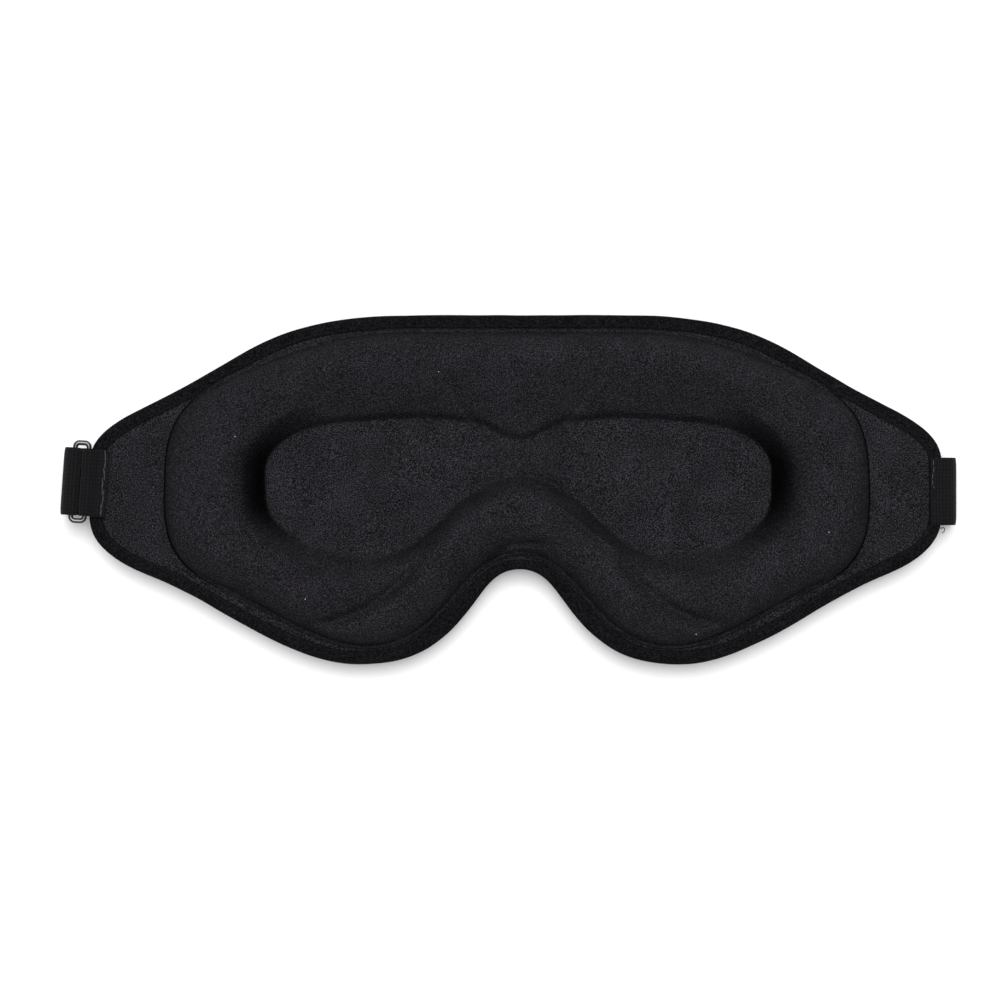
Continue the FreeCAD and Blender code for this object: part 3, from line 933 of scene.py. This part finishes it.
def lint():
    """A few specks of lint on the pad."""
    spots = [(-80.0, 15.1), (-60.4, -30.9), (50.2, -40.9), (-23.0, 33.5), (88.0, -12.0)]
    centres, directions = [], []
    for x, y in spots:
        relief = pad_relief(np.array([x]), np.array([y]))[0][0]
        centres.append((shifted(x), y, base_top + relief + 0.1))
        directions.append((rng.uniform(-1, 1), rng.uniform(-1, 1), 0.2))
    verts, faces = stitch_mesh(centres, directions, 0.55, 0.13)
    specks = make_object("lint_specks", verts, faces, sharp=180)
    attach(specks, "core")
    return specks


def loose_thread():
    """Thread end that sticks out beside the sewn strap end."""
    curve = bpy.data.curves.new("loose_thread_end", "CURVE")
    curve.dimensions = "3D"
    curve.bevel_depth = 0.13 * MM
    curve.bevel_resolution = 2
    spline = curve.splines.new("NURBS")
    points = [
        (119.4, -9.6, 13.0), (120.1, -10.6, 12.9), (121.3, -11.0, 12.3),
        (122.4, -10.6, 11.9), (122.6, -11.8, 11.7), (121.8, -12.4, 11.6),
    ]
    spline.points.add(len(points) - 1)
    for target, point in zip(spline.points, points):
        target.co = (*[c * MM for c in point], 1)
    spline.order_u = 3
    spline.use_endpoint_u = True
    drawn = bpy.data.objects.new("loose_thread_curve", curve)
    bpy.context.scene.collection.objects.link(drawn)
    bpy.context.view_layer.update()
    evaluated = drawn.evaluated_get(bpy.context.evaluated_depsgraph_get())
    drawn_mesh = bpy.data.meshes.new_from_object(evaluated)
    bpy.data.objects.remove(drawn)
    thread = bpy.data.objects.new("loose_thread_end", drawn_mesh)
    bpy.context.scene.collection.objects.link(thread)
    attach(thread, "right_wing")
    return thread


# ---- materials

def new_material(name, roughness):
    material = bpy.data.materials.new(name)
    material.use_nodes = True
    nodes = material.node_tree.nodes
    shader = nodes["Principled BSDF"]
    shader.inputs["Roughness"].default_value = roughness
    return material, nodes, material.node_tree.links, shader


def add_noise(nodes, links, coordinates, scale, detail=2.0, roughness=0.6):
    texture = nodes.new("ShaderNodeTexNoise")
    texture.inputs["Scale"].default_value = scale
    texture.inputs["Detail"].default_value = detail
    texture.inputs["Roughness"].default_value = roughness
    links.new(coordinates, texture.inputs["Vector"])
    return texture.outputs["Fac"]


def add_ramp(nodes, links, factor, stops):
    ramp_node = nodes.new("ShaderNodeValToRGB")
    elements = ramp_node.color_ramp.elements
    while len(elements) < len(stops):
        elements.new(0.5)
    for element, (position, value) in zip(elements, stops):
        element.position = position
        element.color = (*value, 1)
    links.new(factor, ramp_node.inputs["Fac"])
    return ramp_node.outputs["Color"]


def add_bump(nodes, links, height, strength, distance_mm, below=None):
    bump = nodes.new("ShaderNodeBump")
    bump.inputs["Strength"].default_value = strength
    bump.inputs["Distance"].default_value = distance_mm * MM
    links.new(height, bump.inputs["Height"])
    if below is not None:
        links.new(below, bump.inputs["Normal"])
    return bump.outputs["Normal"]


def add_math(nodes, links, operation, first, second):
    node = nodes.new("ShaderNodeMath")
    node.operation = operation
    for socket, value in zip(node.inputs, (first, second)):
        if isinstance(value, (int, float)):
            socket.default_value = value
        else:
            links.new(value, socket)
    return node.outputs["Value"]


def fabric(name, middle, contrast, grain_mm, bump_mm, sheen=0.0, roughness=0.95, shade=None):
    """Fabric with a salt-and-pepper grain, darker where the mesh's layer of painted shade says so."""
    material, nodes, links, shader = new_material(name, roughness)
    coordinates = nodes.new("ShaderNodeTexCoord").outputs["Object"]
    grain = add_noise(nodes, links, coordinates, 1 / (grain_mm * MM), 3.0, 0.7)
    patches = add_noise(nodes, links, coordinates, 1 / (9 * MM), 2.0, 0.5)
    mixed = add_math(nodes, links, "ADD", grain, add_math(nodes, links, "MULTIPLY", patches, 0.08))
    stops = [(0.42, grey(middle / contrast)), (0.54, grey(middle)), (0.68, grey(middle * contrast * 1.2))]
    colour = add_ramp(nodes, links, mixed, stops)
    # Painted shade: the base colour is multiplied by the mesh's shade layer
    if shade is not None:
        layer = nodes.new("ShaderNodeAttribute")
        layer.attribute_name = shade
        scaled = nodes.new("ShaderNodeVectorMath")
        scaled.operation = "MULTIPLY"
        links.new(colour, scaled.inputs[0])
        links.new(layer.outputs["Color"], scaled.inputs[1])
        colour = scaled.outputs["Vector"]
    links.new(colour, shader.inputs["Base Color"])
    fine = add_noise(nodes, links, coordinates, 1 / (0.55 * grain_mm * MM), 2.0, 0.6)
    low = add_bump(nodes, links, grain, 0.8, bump_mm)
    links.new(add_bump(nodes, links, fine, 0.6, bump_mm * 0.5, low), shader.inputs["Normal"])
    shader.inputs["Sheen Weight"].default_value = sheen
    shader.inputs["Sheen Roughness"].default_value = 0.45
    shader.inputs["Specular IOR Level"].default_value = 0.01
    return material


def webbing_material(name, dark, light):
    """Elastic webbing: ribs along its length, with rows of weft across them (UVs are in centimetres)."""
    rib_width = 0.11
    pick_length = 0.09
    material, nodes, links, shader = new_material(name, 0.75)
    uv = nodes.new("ShaderNodeTexCoord").outputs["UV"]
    split = nodes.new("ShaderNodeSeparateXYZ")
    links.new(uv, split.inputs["Vector"])
    along, across = split.outputs["X"], split.outputs["Y"]
    rib_turns = add_math(nodes, links, "MULTIPLY", across, 2 * math.pi / rib_width)
    pick_turns = add_math(nodes, links, "MULTIPLY", along, 2 * math.pi / pick_length)
    ribs = add_math(nodes, links, "SINE", rib_turns, 0)
    picks = add_math(nodes, links, "SINE", pick_turns, 0)
    weave = add_math(nodes, links, "ADD", add_math(nodes, links, "MULTIPLY", ribs, 0.35),
                     add_math(nodes, links, "MULTIPLY", picks, 0.65))
    coordinates = nodes.new("ShaderNodeTexCoord").outputs["Object"]
    fuzz = add_noise(nodes, links, coordinates, 1 / (0.35 * MM), 3.0, 0.7)
    mixed = add_math(nodes, links, "ADD", add_math(nodes, links, "MULTIPLY", weave, 0.16), fuzz)
    links.new(add_ramp(nodes, links, mixed, [(0.3, dark), (0.72, light)]), shader.inputs["Base Color"])
    links.new(add_bump(nodes, links, mixed, 0.9, 0.22), shader.inputs["Normal"])
    shader.inputs["Sheen Weight"].default_value = 0.04
    shader.inputs["Specular IOR Level"].default_value = 0.06
    return material


def plain_surface(name, dark, light, roughness, grain_mm, bump_mm, coat=0.0, specular=0.5):
    """Painted wire, moulded plastic or foam."""
    material, nodes, links, shader = new_material(name, roughness)
    coordinates = nodes.new("ShaderNodeTexCoord").outputs["Object"]
    grain = add_noise(nodes, links, coordinates, 1 / (grain_mm * MM), 3.0, 0.6)
    links.new(add_ramp(nodes, links, grain, [(0.35, dark), (0.7, light)]), shader.inputs["Base Color"])
    links.new(add_bump(nodes, links, grain, 0.5, bump_mm), shader.inputs["Normal"])
    wear = add_noise(nodes, links, coordinates, 1 / (4 * MM), 2.0, 0.5)
    uneven = add_math(nodes, links, "MULTIPLY", wear, 0.12)
    rough = add_math(nodes, links, "ADD", uneven, roughness - 0.06)
    links.new(rough, shader.inputs["Roughness"])
    shader.inputs["Specular IOR Level"].default_value = specular
    shader.inputs["Coat Weight"].default_value = coat
    shader.inputs["Coat Roughness"].default_value = 0.12
    return material


def paint(piece, *materials):
    """Give the piece these materials, in the order of its faces' slots."""
    if piece.data.materials:
        piece.data.materials.clear()
    for material in materials:
        piece.data.materials.append(material)


def grey(value):
    """Dark grey with a slight purple tint."""
    return (value * 1.03, value * 0.98, value * 1.15)


# ---- making

pad_piece = face_pad()
laminate_pieces = laminate()
edge_pieces = edges()
strap_pieces = strap()
tack_z = tab_bottom_z + layer_step + webbing_thickness / 2
tab_tack = sewn_row("tab_stitching", "left_wing", -117.6, tack_z + 0.05, ring_tilt, -8.6, 8.9,
                    "ring_tab_tack", rows=2)
end_tack_z = tab_bottom_z + webbing_thickness / 2 + 0.05
end_tack = sewn_row("strap_end_stitching", "right_wing", 119.3, end_tack_z, 0.0, -9.0, 9.2,
                    "strap_anchor_tack", centre_y=anchor_centre_y, dark_below=0.6)
loop_tack_z = second_layer_z + webbing_thickness / 2 - 0.1
loop_tack = sewn_row("slider_loop_stitching", "slider", 14.2, loop_tack_z, 0.0, -8.6, 8.8,
                     "slider_loop_tack")
thread_end = loose_thread()
specks = lint()

# The pad's colour is darkened by its layer of painted shade
pad_fabric = fabric("pad fabric", 0.0098, 3.2, 0.345, 0.20, shade="painted_shade")
lining_fabric = fabric("lining fabric", 0.0094, 4.0, 0.345, 0.26)
shell_fabric = fabric("outer fabric", 0.0105, 1.9, 0.4, 0.14)
tape_fabric = fabric("binding fabric", 0.0044, 2.6, 0.42, 0.14, sheen=0.01, roughness=0.85)
strap_fabric = webbing_material("elastic webbing", grey(0.002), grey(0.0085))
thread_fabric = plain_surface("thread", grey(0.0045), grey(0.009), 0.8, 0.15, 0.05, specular=0.08)
bright_thread = plain_surface("bright thread", grey(0.014), grey(0.045), 0.6, 0.15, 0.05)
lint_white = plain_surface("lint", grey(0.2), grey(0.4), 0.9, 0.15, 0.05)
foam_surface = plain_surface("foam", grey(0.02), grey(0.05), 0.95, 0.5, 0.25)
ring_paint = plain_surface("ring paint", grey(0.003), grey(0.006), 0.2, 0.6, 0.02, coat=0.8)
slider_plastic = plain_surface("slider plastic", grey(0.006), grey(0.01), 0.42, 0.25, 0.03, coat=0.1)

paint(pad_piece, pad_fabric, lining_fabric)
for lining, shell, foam in laminate_pieces:
    paint(lining, lining_fabric)
    paint(shell, shell_fabric)
    paint(foam, foam_surface)
for tape, seam in edge_pieces:
    paint(tape, tape_fabric)
    paint(seam, thread_fabric)
for piece in strap_pieces:
    paint(piece, strap_fabric)
for piece in (tab_tack, end_tack):
    paint(piece, bright_thread, thread_fabric)
for piece in (loop_tack, thread_end):
    paint(piece, thread_fabric)
paint(specks, lint_white)
paint(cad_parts["strap_ring"], ring_paint)
paint(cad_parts["slider_frame"], slider_plastic)


# ---- stage, light and camera

def plain_floor():
    mesh = bpy.data.meshes.new("floor")
    size = 60.0
    corners = [(-size, -size, 0), (size, -size, 0), (size, size, 0), (-size, size, 0)]
    mesh.from_pydata(corners, [], [(0, 1, 2, 3)])
    floor = bpy.data.objects.new("floor", mesh)
    bpy.context.scene.collection.objects.link(floor)
    floor.location.z = -0.1 * MM
    material, nodes, links, shader = new_material("pale floor", 0.9)
    shader.inputs["Base Color"].default_value = (0.92, 0.92, 0.92, 1)
    floor.data.materials.append(material)


def soft_light(name, direction, strength, spread_deg):
    """Even light from one side, as from a large softbox."""
    data = bpy.data.lights.new(name, "SUN")
    data.energy = strength
    data.angle = math.radians(spread_deg)
    light = bpy.data.objects.new(name, data)
    light.location = Vector(direction)
    light.rotation_euler = Vector(direction).to_track_quat("Z", "Y").to_euler()
    bpy.context.scene.collection.objects.link(light)


def stage_and_camera():
    """Pale floor, even light from above and a camera straight over the mask."""
    plain_floor()
    world = bpy.data.worlds.new("studio")
    bpy.context.scene.world = world
    world.use_nodes = True
    background = world.node_tree.nodes["Background"]
    background.inputs["Color"].default_value = (1, 1, 1, 1)
    background.inputs["Strength"].default_value = 0.4
    soft_light("softbox", (0.0, 0.36, 1.0), 2.7, 40.0)
    soft_light("fill", (0.0, -0.1, 1.0), 0.8, 30.0)
    data = bpy.data.cameras.new("camera")
    data.lens = 150
    data.sensor_width = 36
    data.clip_start = 0.01
    data.clip_end = 10
    camera = bpy.data.objects.new("camera", data)
    frame_width = 285.7
    view_x, view_y = -4.43, -2.86
    distance = frame_width / 2 / (data.sensor_width / 2 / data.lens)
    camera.location = (view_x * MM, view_y * MM, (base_top + distance) * MM)
    bpy.context.scene.collection.objects.link(camera)
    bpy.context.scene.camera = camera
    bpy.context.scene.view_settings.view_transform = "Standard"


stage_and_camera()
